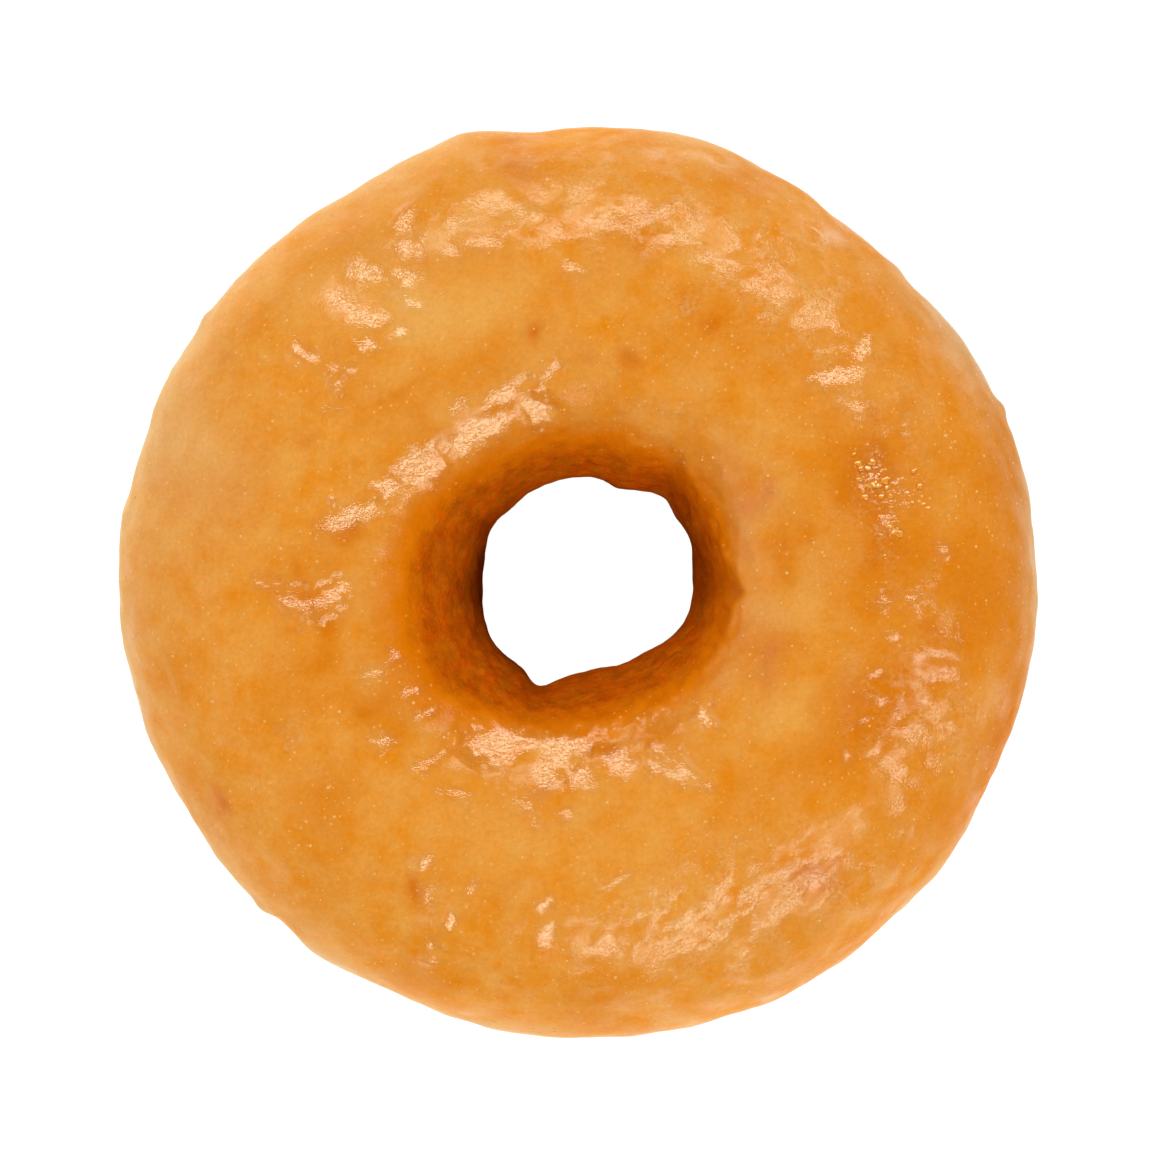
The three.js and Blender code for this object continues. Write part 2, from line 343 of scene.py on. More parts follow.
# The dry flats lie in the paper crinkle.
DRY_FLATS = {
    (0.05, -0.42): [
        (-12.1, 34.7, 1.1, 0.7, 20), (-9.2, 32.5, 1.5, 0.8, 5), (-12.3, 31.6, 0.8, 0.7, 0),
        (-8.5, 36.4, 2.0, 1.1, 0), (-4.9, 35.6, 1.7, 0.6, -10), (-2.0, 33.3, 0.9, 0.4, -40),
        (2.2, 34.4, 2.5, 0.9, -8), (6.2, 35.3, 3.0, 1.2, -5), (9.1, 32.9, 1.8, 0.6, -25),
    ],
    (-0.18, -0.42): [
        (13.4, 30.4, 2.1, 0.8, -20), (18.3, 27.9, 3.0, 0.8, -10), (19.3, 29.6, 1.5, 0.6, -30),
        (23.3, 25.3, 2.6, 1.2, -32), (26.0, 17.0, 1.6, 0.8, -25), (31.2, 15.2, 0.9, 0.7, 60),
    ],
    (-0.37, 0.25): [
        (26.7, -13.4, 1.3, 0.5, 22), (28.7, -11.4, 1.1, 0.5, -20), (32.2, -14.6, 1.9, 0.8, -25),
        (34.9, -13.6, 2.2, 0.7, -28), (29.7, -17.8, 1.8, 0.6, -35), (30.5, -12.5, 0.8, 0.4, -40),
        (31.9, -19.3, 0.8, 0.35, -10), (30.6, -21.5, 0.9, 0.6, 0), (32.7, -11.7, 1.0, 0.35, 20),
        (33.3, -6.9, 2.4, 0.7, -8), (33.1, -9.1, 1.3, 0.35, -12), (26.6, -27.1, 1.2, 0.5, -30),
        (30.0, -5.4, 1.2, 0.5, -12), (35.9, -9.2, 1.4, 0.6, -32), (37.0, -12.0, 1.3, 0.5, -35),
        (27.6, -16.4, 1.1, 0.5, -28), (33.8, -17.4, 1.3, 0.5, -35), (28.4, -8.6, 1.0, 0.4, -10),
        (25.4, -16.6, 0.8, 0.4, -25), (31.2, -24.0, 1.0, 0.4, -40), (36.2, -5.2, 1.1, 0.45, -20),
    ],
    (-0.12, 0.41): [
        (15.0, -24.9, 0.8, 0.3, 30), (13.5, -27.3, 1.6, 0.45, 20), (17.0, -29.3, 1.9, 0.8, 38),
        (19.3, -28.4, 1.5, 0.6, 20), (22.5, -28.7, 1.3, 0.6, 10), (2.3, -34.9, 1.6, 0.9, 10),
        (4.9, -32.4, 2.2, 0.6, 22), (10.0, -32.6, 2.4, 0.8, 20), (12.4, -30.7, 1.7, 0.6, 32),
        (9.0, -35.3, 2.6, 1.0, 12),
    ],
}
# Each kind of flat with its gloss, and how many mm wider each flat is made than its list says.
FLAT_KINDS = [(DRY_FLATS, 0.72, 0.05), (WET_FLATS, 1.0, 0.2)]
FLAT_SHARPNESS = 2
SHINE_SHARPNESS = 3
SHINE_PAST_END = 0.6  # mm by which the shine reaches past a flat's ends
SHINE_PAST_SIDE = 0.4
RAGGED_BY = 0.35  # mm by which the edges of the flats are pushed about
RAGGED_SIZE = 1.5

ragged = skin.copy()
ragged[..., 0] += RAGGED_BY * wave_field(plain, RAGGED_SIZE, seed=21)
ragged[..., 1] += RAGGED_BY * wave_field(plain, RAGGED_SIZE, seed=22)
gloss = np.zeros_like(azimuth)
for flats, most, spread in FLAT_KINDS:
    for (rise_x, rise_y), places in flats.items():
        for x, y, half_length, half_width, turn in places:
            share = high_up * window(ragged, x, y, half_length + spread, half_width + spread,
                                     turn, FLAT_SHARPNESS)
            level = (skin[..., 2] * share).sum() / share.sum()
            plane = level + rise_x * (skin[..., 0] - x) + rise_y * (skin[..., 1] - y)
            skin[..., 2] += share * (plane - skin[..., 2])
            shine = window(ragged, x, y, half_length + SHINE_PAST_END,
                           half_width + SHINE_PAST_SIDE, turn, SHINE_SHARPNESS)
            gloss = np.maximum(gloss, most * high_up * shine)

# Dents and swellings: x, y, half-length, half-width, turn and height.
DENTS = [
    (-21.6, 19.6, 2.3, 1.6, 20, 0.3), (29.4, 9.0, 4.5, 4.5, 0, -0.4),
    (-5.6, 37.5, 3.0, 0.6, -38, -0.3), (3.4, -15.2, 2.4, 1.0, 15, -0.35),
    (-0.6, -17.6, 0.8, 0.6, 60, -0.3), (-1.8, -19.0, 0.6, 0.5, 0, -0.25),
]
for x, y, half_length, half_width, turn, height in DENTS:
    skin[..., 2] += high_up * height * window(skin, x, y, half_length, half_width, turn)

# Nibs and nicks on the outline: azimuth, section angle, height and half-width.
NIBS = [
    (22.4, 12, 0.45, 0.9), (194, 18, 0.3, 0.7), (225.5, 12, 0.4, 1.2), (229.5, 10, -0.4, 1.4),
    (144.5, 14, 0.35, 1.1), (152.7, 10, 0.2, 1.5), (104.5, 14, 0.15, 2.0), (45, 10, 0.2, 1.3),
]
outward = grid_normals(skin)
for nib_azimuth, nib_angle, height, half_width in NIBS:
    middle = ring_form(np.array([float(nib_azimuth)]), np.array([float(nib_angle)]))[0]
    distance = np.linalg.norm(plain - middle, axis=-1)
    skin += outward * (height * hump(distance, half_width))[..., None]
skin[..., 2] = np.maximum(skin[..., 2], 0)

# The finished skin is centred over the CAD ring's own middle.
cad_low, cad_high = (np.array(corner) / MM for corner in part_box("doughnut"))
skin_low, skin_high = skin.min(axis=(0, 1)), skin.max(axis=(0, 1))
shift = (cad_low + cad_high - skin_low - skin_high) / 2
shift[2] = 0
skin += shift


def make_piece(name, points, faces):
    """A mesh object at the origin, with its place in its points, given in millimetres."""
    mesh = bpy.data.meshes.new(name)
    mesh.from_pydata(points.reshape(-1, 3) * MM, [], faces)
    mesh.validate()
    mesh.shade_smooth()
    piece = bpy.data.objects.new(name, mesh)
    bpy.context.scene.collection.objects.link(piece)
    return piece


def closed_grid_faces(columns, rows):
    """Quads over a grid that closes on itself both ways, facing out."""
    column, row = np.meshgrid(np.arange(columns), np.arange(rows), indexing="ij")
    next_column, next_row = (column + 1) % columns, (row + 1) % rows
    corners = [column * rows + row, next_column * rows + row,
               next_column * rows + next_row, column * rows + next_row]
    return np.stack(corners, axis=-1).reshape(-1, 4)


def paint(piece, name, values):
    """Stores one value for each point, for the material to read by name."""
    layer = piece.data.attributes.new(name, "FLOAT", "POINT")
    layer.data.foreach_set("value", np.asarray(values, np.float32).ravel())


crust = make_piece("glazed_crust", skin, closed_grid_faces(COLUMNS, ROWS))

# Clear deep amber, where the glaze is thick or the dough has taken more colour.
DEEP_SPOTS = [
    (29.3, 15.4, 2.2, 0.7), (27.6, 9.4, 2.9, 1.0), (28.8, 3.9, 2.2, 0.9), (24.5, 12.5, 2.4, 0.3),
    (30.4, 22.2, 1.3, 0.5), (20.2, 3.9, 2.1, 0.6), (15.5, 10.6, 2.0, 0.5), (11.7, 14.9, 2.5, 0.4),
    (5.9, 32.6, 3.0, 0.6), (11.6, 27.9, 1.6, 0.4), (0.7, 33.4, 2.4, 0.3), (-21.3, 11.1, 1.5, 0.8),
    (-21.8, 5.1, 1.2, 0.5), (-23.7, -4.2, 2.4, 0.8), (-27.9, 2.0, 1.2, 0.4),
    (-19.8, -12.5, 2.4, 0.9), (-26.5, -13.2, 2.6, 0.3), (-7.4, -29.7, 2.0, 0.4),
    (2.3, -16.0, 1.5, 0.8), (6.9, -14.5, 2.0, 0.5), (28.8, -13.7, 2.2, 0.8),
    (30.7, -10.4, 1.5, 0.5), (23.1, -11.3, 1.5, 0.3), (-18.7, 17.3, 1.4, 0.4),
    (-16.0, 19.2, 1.4, 0.5), (-26.6, 22.1, 1.0, 0.5), (-14.2, 14.9, 2.0, 0.4),
    (-16.8, -8.0, 2.8, 0.8), (-13.2, -13.4, 2.4, 0.6), (-26.0, -1.5, 4.5, 0.45),
]
# Small brown freckles, where a bubble in the dough has caught the heat.
FRECKLES = [
    (-4.1, 24.0, 1.0, 0.9), (-16.1, -29.7, 1.0, 0.8), (12.6, 24.4, 0.9, 0.7),
    (4.5, 21.3, 1.0, 0.7), (-34.8, -21.2, 1.1, 0.9), (-21.8, 4.9, 0.8, 0.5),
    (19.3, -6.6, 2.2, 0.35), (24.0, -28.7, 1.7, 0.6), (21.3, -29.5, 0.9, 0.5),
    (33.6, -4.5, 1.2, 0.5), (10.7, 35.1, 0.8, 0.4), (-26.0, 13.9, 0.8, 0.4),
    (-34.1, 21.8, 0.8, 0.4), (16.0, -5.7, 1.2, 0.3), (-15.1, 31.2, 0.7, 0.3),
]
# Pale clouds, where the glaze has dried white inside.
PALE_SPOTS = [
    (-13.2, 25.9, 3.3, 0.9), (-17.2, 23.5, 2.0, 0.5), (2.1, 27.7, 3.0, 0.4), (-19, 29, 9.0, 0.45),
    (19.3, -11.4, 3.3, 0.7), (17.4, 5.4, 2.0, 0.5), (-31.3, 9.6, 4.0, 0.3),
    (-10.3, -25.6, 3.0, 0.4), (7.8, -24.7, 3.4, 0.3), (-26.5, -7.5, 2.4, 0.3),
    (21.2, -3.7, 2.0, 0.4), (16.0, -1.8, 2.0, 0.4), (-7.4, 26.8, 3.0, 0.4),
]
# Dull pinkish patches, where the crust under the glaze is bruised.
BLUSH_SPOTS = [
    (17.3, 7.6, 1.6, 0.8), (15.9, 4.0, 1.5, 0.6), (17.9, -5.7, 2.0, 0.8), (17.0, -8.8, 1.8, 0.5),
    (22.3, -28.4, 1.2, 0.9), (24.8, -27.2, 1.0, 0.6), (-3.5, -19.6, 1.4, 0.6),
    (-6.0, 40.0, 2.2, 0.6), (0.0, 21.4, 1.2, 0.3), (26.0, -10.5, 1.5, 0.3),
]
# Where the glaze is still wet and shines like glass, besides the flats.
WET_SPOTS = [
    (29, 8, 4.0, 0.2), (25, 20, 3.0, 0.4), (-25.5, -0.9, 3.0, 0.6), (-20, 29, 6.0, 0.3),
]
# Where it has set over a froth of small bubbles.
FROTH_SPOTS = [
    (27.8, 10.8, 1.5, 0.9), (29.8, 8.4, 2.4, 1.0), (29.3, 5.2, 1.3, 1.0), (32.5, 8.5, 1.6, 0.6),
    (31.0, -1.6, 1.6, 0.3), (9.0, 17.0, 1.5, 0.4), (33.5, 12.5, 1.6, 0.4),
]
# How closely the small patches follow the warp that pushes the large ones about.
BLUSH_WARP = 0.6
SMALL_WARP = 0.4

# What is summed up by azimuth: where, how much and half-width, the widths in degrees.
DEEP_SIDE = [(-6, 0.6, 48)]  # the share of deep colour that the right side has taken on
# Painted shade on the rim: its right side is made darker and greyer.
RIM_SHADE = [(20, 1.0, 45)]  # how dull and tan the rim is
# The darker left and right sides of the hole's wall are partly scorched crust and partly painted
# shade, where the softboxes light the wall least.
SCORCHED_AND_SHADED_SIDES = [(185, 1.0, 52), (5, 0.4, 32)]
WALL_EDGE = 14.4  # how far from the middle of the hole the brown wall ends
WALL_EDGE_LUMPS = [(165, 3.0, 32), (210, 3.5, 30), (290, -0.9, 30), (0, -0.4, 25)]
BROWN_REACH = 2.0  # how far past the edge of the wall the browning fades out
BROWN_REACH_LUMPS = [(195, 1.8, 60)]
PROOF_HALF_WIDTH = 4.5  # of the pale band round the widest line, which stayed above the oil
PROOF_LEAST = 2
WIDER_PROOF = [(180, 4.5, 45)]

# How wet the glaze is: everywhere on top, nearer the hole, in the paper and over the froth.
TOP_WET = 0.1
INNER_WET = 0.14
PAPER_WET = 0.6
FROTH_WET = 0.8
SIDE_WET = 0.35  # on the side and the underside it is thin, and has mostly drained off

# What makes them uneven. The scorching and painted shade of the wall are pushed about by degrees,
# and the others are not.
DEEP_UNEVEN = (0.22, 11, 33)
PALE_UNEVEN = (0.24, 8, 34)
WET_UNEVEN = (0.06, 3, 35)
WALL_EDGE_UNEVEN = (0.3, 2.5, 36)
PROOF_UNEVEN = (2.0, 22, 37)
SCORCH_AND_SHADE_UNEVEN = (12, 6, 39)
BROWNING_UNEVEN = (1.2, 9, 40)

# Spans of distance from the middle of the hole.
DEEP_SIDE_RADII = (20, 30)
RIM_SHADE_RADII = (38.5, 43.5)
INNER_WET_RADII = (27, 21)
DRAINED_RADII = (14, 20)
PROOF_RADII = (25, 35)
# Spans of height.
RIM_SHADE_HEIGHTS = (6, 14)
SCORCH_AND_SHADE_HEIGHTS = (26, 16)
WET_HEIGHTS = (14, 22)
DRAINED_HEIGHTS = (22, 14)
UNDERNEATH_HEIGHTS = (10, 3)
# Distances counted outwards from the edge of the wall.
IN_HOLE_FROM, IN_HOLE_FULL = 0.2, -2.4
WET_FROM, WET_FULL = -0.5, 1.2
NEAR_HOLE_FULL = -0.6

deep = on_top * spots_at(plain + warp, DEEP_SPOTS) + uneven(plain, *DEEP_UNEVEN)
deep += lumps_at(azimuth, DEEP_SIDE) * smooth_step(*DEEP_SIDE_RADII, from_hole)
pale = on_top * spots_at(plain + warp, PALE_SPOTS) + uneven(plain, *PALE_UNEVEN)
blush = on_top * spots_at(plain + BLUSH_WARP * warp, BLUSH_SPOTS)
freckle = on_top * spots_at(plain + SMALL_WARP * warp, FRECKLES)
froth = np.clip(on_top * spots_at(plain + SMALL_WARP * warp, FROTH_SPOTS), 0, 1)
# Painted shade on the right of the outer rim, above the foot.
dull = lumps_at(azimuth, RIM_SHADE) * smooth_step(*RIM_SHADE_RADII, from_hole)
dull *= smooth_step(*RIM_SHADE_HEIGHTS, plain_z)

wall_edge = WALL_EDGE + lumps_at(azimuth, WALL_EDGE_LUMPS)
wall_edge += uneven(wall_place, *WALL_EDGE_UNEVEN)
in_hole = smooth_step(wall_edge + IN_HOLE_FROM, wall_edge + IN_HOLE_FULL, from_hole)
# Scorch and painted shade on the wall of the hole: darker at its left and right sides, and deeper
# down.
scorch = lumps_at(azimuth + uneven(plain, *SCORCH_AND_SHADE_UNEVEN), SCORCHED_AND_SHADED_SIDES)
scorch *= in_hole * smooth_step(*SCORCH_AND_SHADE_HEIGHTS, plain_z)
browned_out_to = wall_edge + BROWN_REACH + lumps_at(azimuth, BROWN_REACH_LUMPS)
near_hole = smooth_step(browned_out_to, wall_edge + NEAR_HOLE_FULL, from_hole)

wet = TOP_WET + INNER_WET * smooth_step(*INNER_WET_RADII, from_hole) + PAPER_WET * paper
wet = wet + on_top * spots_at(plain + warp, WET_SPOTS) + uneven(plain, *WET_UNEVEN)
wet = np.maximum(np.clip(wet + FROTH_WET * froth, 0, 1), gloss)
wet *= (smooth_step(wall_edge + WET_FROM, wall_edge + WET_FULL, from_hole)
        * smooth_step(*WET_HEIGHTS, plain_z))
drained = SIDE_WET * smooth_step(*DRAINED_HEIGHTS, plain_z)
drained *= smooth_step(*DRAINED_RADII, from_hole)

proof_half_width = PROOF_HALF_WIDTH + uneven(plain * (1, 1, 0), *PROOF_UNEVEN)
proof_half_width += lumps_at(azimuth, WIDER_PROOF)
proof = hump(plain_z - BELLY_HEIGHT, np.maximum(proof_half_width, PROOF_LEAST))
browned_up_to = plain_z + uneven(plain, *BROWNING_UNEVEN)

shares = {
    "froth": froth, "deep": deep, "freckle": freckle, "pale": pale, "blush": blush, "dull": dull,
    "paper": paper, "wet": np.maximum(wet, drained), "in_hole": in_hole, "scorch": scorch,
    "near_hole": near_hole, "proof_line": proof * smooth_step(*PROOF_RADII, from_hole),
    "underneath": smooth_step(*UNDERNEATH_HEIGHTS, browned_up_to),
}
for name, values in shares.items():
    paint(crust, name, np.clip(values, 0, 1))


def srgb(red, green, blue):
    """A colour given as 0 to 255, as the linear values that Blender's sockets hold."""
    value = np.array([red, green, blue]) / 255
    linear = np.where(value <= 0.04045, value / 12.92, ((value + 0.055) / 1.055) ** 2.4)
    return (*linear.tolist(), 1.0)


def put(tree, kind, inputs=None, **properties):
    """Puts a node in a tree. Each input is a plain value, or the socket that feeds it."""
    made = tree.nodes.new(kind)
    for name, value in properties.items():
        setattr(made, name, value)
    for name, value in (inputs or {}).items():
        if isinstance(value, bpy.types.NodeSocket):
            tree.links.new(value, made.inputs[name])
        else:
            made.inputs[name].default_value = value
    return made


def blend_colours(tree, share, first, second):
    """One colour going over to another by a share."""
    mixed = put(tree, "ShaderNodeMix", {0: share, 6: first, 7: second}, data_type="RGBA")
    return mixed.outputs[2]


def calculate(tree, operation, first, second=0.0, third=0.0):
    """One step of arithmetic."""
    return put(tree, "ShaderNodeMath", {0: first, 1: second, 2: third},
               operation=operation).outputs[0]


def calculate_vector(tree, operation, inputs):
    """One step of arithmetic on places or colours."""
    return put(tree, "ShaderNodeVectorMath", inputs, operation=operation).outputs


def between(tree, value, low, high, first=0.0, last=1.0):
    """Goes from a first value at low to a last value at high, and no further."""
    return put(tree, "ShaderNodeMapRange",
               {"Value": value, "From Min": low, "From Max": high,
                "To Min": first, "To Max": last}).outputs["Result"]


def noise(tree, place, size, detail=2.0, roughness=0.5, distortion=0.0):
    """Lumps of about one size in metres, as values from 0 to 1."""
    made = put(tree, "ShaderNodeTexNoise",
               {"Vector": place, "Scale": 1 / size, "Detail": detail, "Roughness": roughness,
                "Distortion": distortion})
    return made.outputs["Fac"]


def new_group(name, inputs, output, output_type):
    """An empty node group with a place and named number inputs, and one output."""
    group = bpy.data.node_groups.new(name, "ShaderNodeTree")
    group.interface.new_socket("Place", in_out="INPUT", socket_type="NodeSocketVector")
    for socket in inputs:
        group.interface.new_socket(socket, in_out="INPUT", socket_type="NodeSocketFloat")
    group.interface.new_socket(output, in_out="OUTPUT", socket_type=output_type)
    given = group.nodes.new("NodeGroupInput").outputs
    result = group.nodes.new("NodeGroupOutput").inputs[0]
    return group, given, result


# Fried amber: the colour of the dough seen through its glaze, with a painted sheen on the paper
# crinkle and painted shade on the right of the rim and the sides of the wall. Sizes are in metres.
AMBER = srgb(236, 140, 14)
PALE_AMBER = srgb(238, 164, 76)
DEEP_AMBER = srgb(223, 124, 3)
CLOUD = srgb(240, 172, 88)
BLUSH = srgb(222, 130, 62)
FRECKLE_BROWN = srgb(217, 112, 8)
NEAR_HOLE = srgb(231, 126, 5)
HOLE_BROWN = srgb(200, 102, 9)
HOLE_RUST = srgb(204, 91, 5)
# The next colour is scorched crust and painted shade, for the sides of the wall.
HOLE_SCORCH_AND_SHADE = srgb(96, 34, 2)
PROOF_CREAM = srgb(232, 195, 142)
UNDER_BROWN = srgb(196, 108, 30)
UNDER_TOASTED = srgb(158, 76, 16)
SPECK = srgb(250, 192, 118)
# The next colour is a painted sheen, laid on the ridges of the paper crinkle.
PAPER_SHEEN = srgb(243, 180, 112)
# Painted shade: the right of the rim is multiplied by this, which makes it darker and greyer.
RIM_SHADE_TINT = (0.84, 0.88, 1.08)  # what the dull tan part of the rim multiplies its colour by
MOTTLE_SIZE = 0.0026
BROWNING_SIZE = 0.002
TOASTING_SIZE = 0.007
PAPER_SIZE = 0.00036
# Painted sheen: how much of it the ridges of the paper take on.
PAPER_SHEEN_MOST = 0.6  # how much of the pale colour the ridges of the paper take on
SPECKS_PER_METRE = 1700.0
SPECK_POWER = 2.5  # the higher, the fewer are large
SPECK_REACH = (0.03, 0.3)  # the radius of the smallest and of the largest, as shares of a cell
SPECK_EDGE = 0.12
SPECK_STRENGTH = 0.6
SPECK_LOST_IN_HOLE = 0.55
TONE_GRAIN_SIZE = 0.0005
TONE_GRAIN = (0.93, 1.06)  # the darkest and the lightest, as shares of the colour


def paper_creep(tree, place):
    """The pattern of the paper crinkle, with its ridges near 1 and its hollows near 0."""
    return noise(tree, place, PAPER_SIZE, detail=2, roughness=0.55, distortion=0.8)


AMBER_SHARES = ["Deep", "Pale", "Blush", "Dull", "Freckle", "Paper", "Near Hole", "In Hole",
                "Scorch", "Proof Line", "Underneath"]
amber, given, result = new_group("fried_amber", AMBER_SHARES, "Colour", "NodeSocketColor")
place = given["Place"]
mottle = noise(amber, place, MOTTLE_SIZE, detail=4, roughness=0.6)
colour = blend_colours(amber, between(amber, mottle, 0.28, 0.72), AMBER, PALE_AMBER)
colour = blend_colours(amber, given["Pale"], colour, CLOUD)
colour = blend_colours(amber, given["Deep"], colour, DEEP_AMBER)
colour = blend_colours(amber, given["Freckle"], colour, FRECKLE_BROWN)
# Painted sheen: the ridges of the paper crinkle are made paler, as a broad soft reflection on them
# would make them, and its hollows are clear.
paper_sheen = between(amber, paper_creep(amber, place), 0.38, 0.62, 0.0, PAPER_SHEEN_MOST)
paper_sheen = calculate(amber, "MULTIPLY", paper_sheen, given["Paper"])
colour = blend_colours(amber, paper_sheen, colour, PAPER_SHEEN)
colour = blend_colours(amber, given["Proof Line"], colour, PROOF_CREAM)
colour = blend_colours(amber, given["Blush"], colour, BLUSH)
# Painted shade: the right of the rim is made darker and greyer.
shaded_rim = calculate_vector(amber, "MULTIPLY", {0: colour, 1: RIM_SHADE_TINT})["Vector"]
colour = blend_colours(amber, given["Dull"], colour, shaded_rim)
colour = blend_colours(amber, given["Near Hole"], colour, NEAR_HOLE)
browning = noise(amber, place, BROWNING_SIZE, detail=3, roughness=0.6)
wall_colour = blend_colours(amber, between(amber, browning, 0.4, 0.6), HOLE_BROWN, HOLE_RUST)
colour = blend_colours(amber, given["In Hole"], colour, wall_colour)
# Scorched crust and painted shade on the left and right sides of the wall.
colour = blend_colours(amber, given["Scorch"], colour, HOLE_SCORCH_AND_SHADE)
toasting = noise(amber, place, TOASTING_SIZE, detail=5, roughness=0.65)
under_colour = blend_colours(amber, between(amber, toasting, 0.36, 0.64), UNDER_BROWN,
                             UNDER_TOASTED)
colour = blend_colours(amber, given["Underneath"], colour, under_colour)
# Pale specks of trapped air, each cell's colour giving its size.
cells = put(amber, "ShaderNodeTexVoronoi", {"Vector": place, "Scale": SPECKS_PER_METRE})
cell_colour = put(amber, "ShaderNodeSeparateColor", {"Color": cells.outputs["Color"]})
reach = calculate(amber, "POWER", cell_colour.outputs["Red"], SPECK_POWER)
reach = between(amber, reach, 0, 1, *SPECK_REACH)
speck = calculate(amber, "SUBTRACT", reach, cells.outputs["Distance"])
speck = between(amber, speck, 0.0, SPECK_EDGE)
shown = calculate(amber, "MULTIPLY_ADD", given["In Hole"], -SPECK_LOST_IN_HOLE, SPECK_STRENGTH)
colour = blend_colours(amber, calculate(amber, "MULTIPLY", speck, shown), colour, SPECK)
# A fine grain of light and dark.
grain = noise(amber, place, TONE_GRAIN_SIZE, detail=2, roughness=0.8)
bright = between(amber, grain, 0.3, 0.7, *TONE_GRAIN)
colour = calculate_vector(amber, "SCALE", {0: colour, "Scale": bright})["Vector"]
amber.links.new(colour, result)


def painted(tree, name):
    """The value that paint() stored by this name."""
    return put(tree, "ShaderNodeAttribute", attribute_name=name).outputs["Fac"]


def new_material(name):
    """A node material with one Principled shader, ready to be given its inputs."""
    material = bpy.data.materials.new(name)
    material.use_nodes = True
    tree = material.node_tree
    tree.nodes.clear()
    shader = put(tree, "ShaderNodeBsdfPrincipled")
    put(tree, "ShaderNodeOutputMaterial", {"Surface": shader.outputs["BSDF"]})
    return material, tree, shader


def use_group(tree, group, inputs):
    """Places a node group in a material and gives it its inputs."""
    return put(tree, "ShaderNodeGroup", inputs, node_tree=group).outputs[0]


def set_all_over(shader, values):
    """Sets the inputs of a shader that are the same all over the piece."""
    for name, value in values.items():
        shader.inputs[name].default_value = value


material, tree, shader = new_material("glazed_crust")
place = put(tree, "ShaderNodeTexCoord").outputs["Object"]
wet, in_hole, papery = (painted(tree, name) for name in ("wet", "in_hole", "paper"))
amber_inputs = {name: painted(tree, name.lower().replace(" ", "_")) for name in AMBER_SHARES}
colour = use_group(tree, amber, {"Place": place, **amber_inputs})

# Fibres run round the wall of the hole: the noise is laid out on the drum, drawn out along it.
FIBRE_SIZE = 0.00045
FIBRE_DEPTH = 0.00008
FIBRE_DRAWN_OUT = 2
FIBRE_TONES = (0.67, 1.28)  # the darkest and the lightest, as shares of the wall's own colour
BLOTCH_SIZE = 0.0016

parts = put(tree, "ShaderNodeSeparateXYZ", {"Vector": place}).outputs
flat_place = put(tree, "ShaderNodeCombineXYZ", {"X": parts["X"], "Y": parts["Y"]}).outputs[0]
heading = calculate_vector(tree, "NORMALIZE", {0: flat_place})["Vector"]
out = calculate_vector(tree, "LENGTH", {0: flat_place})["Value"]
up_drum = calculate(tree, "MULTIPLY_ADD", out, DRUM_SLANT, parts["Z"])
up_drum = put(tree, "ShaderNodeCombineXYZ", {"Z": up_drum}).outputs[0]
round_drum = calculate_vector(
    tree, "SCALE", {0: heading, "Scale": DRUM_RADIUS * MM / FIBRE_DRAWN_OUT})["Vector"]
fibre_place = calculate_vector(tree, "ADD", {0: round_drum, 1: up_drum})["Vector"]
fibre = noise(tree, fibre_place, FIBRE_SIZE, detail=3, roughness=0.6, distortion=2.2)
blotch = noise(tree, place, BLOTCH_SIZE, detail=4, roughness=0.6)
tone = between(tree, calculate(tree, "ADD", fibre, blotch), 0.7, 1.3, *FIBRE_TONES)
toned = calculate_vector(tree, "SCALE", {0: colour, "Scale": tone})["Vector"]
tree.links.new(blend_colours(tree, in_hole, colour, toned), shader.inputs["Base Color"])

# Glaze crinkle: the fine skin that sets on the sugar, in metres of height. A grain is all over,
# grooves part the wet glaze into narrow plates, paper is where a dry skin has crept, and froth
# is where the glaze has set over small bubbles. The glaze is the coat, so the coat has it too.
GRAIN_SIZE = 0.00022
GRAIN_DEPTH = 0.000024
GROOVE_SIZE = 0.00042
GROOVE_DEPTH = 0.000016
GROOVE_REACH = 0.13  # how far from its middle line a groove reaches, as a share of the noise
GROOVE_TURNS = (-0.95, 0.65)  # in radians: the two ways that the plates lie
GROOVE_SQUEEZE = (0.65, 1.0, 1.0)
GROOVE_REGION = 0.006  # the size of a region where they all lie one way
FROTH_SIZE = 0.0010
FROTH_DEPTH = 0.0005
PAPER_DEPTH = 0.00007


def relief_of(tree, pattern, depth, share):
    """The height of a pattern: from 0 to its depth, times the share of it that shows."""
    return calculate(tree, "MULTIPLY", calculate(tree, "MULTIPLY", pattern, depth), share)


grooves = []
for turn in GROOVE_TURNS:
    turned = put(tree, "ShaderNodeMapping", {"Vector": place, "Rotation": (0, 0, turn),
                                             "Scale": GROOVE_SQUEEZE}).outputs["Vector"]
    lines = noise(tree, turned, GROOVE_SIZE, detail=1, distortion=0.6)
    from_line = calculate(tree, "ABSOLUTE", calculate(tree, "SUBTRACT", lines, 0.5))
    grooves.append(between(tree, from_line, 0.0, GROOVE_REACH, 0.0, GROOVE_DEPTH))
which = between(tree, noise(tree, place, GROOVE_REGION), 0.45, 0.55)
groove = put(tree, "ShaderNodeMix", {0: which, 2: grooves[0], 3: grooves[1]},
             data_type="FLOAT").outputs[0]
grain = noise(tree, place, GRAIN_SIZE, detail=2, roughness=0.6)
bubbly = noise(tree, place, FROTH_SIZE, detail=1, roughness=0.4)
height = calculate(tree, "MULTIPLY", groove, wet)
for part in (calculate(tree, "MULTIPLY", grain, GRAIN_DEPTH),
             relief_of(tree, paper_creep(tree, place), PAPER_DEPTH, papery),
             relief_of(tree, bubbly, FROTH_DEPTH, painted(tree, "froth")),
             relief_of(tree, fibre, FIBRE_DEPTH, in_hole)):
    height = calculate(tree, "ADD", height, part)
bump = put(tree, "ShaderNodeBump", {"Height": height, "Distance": 1.0, "Strength": 1.0})
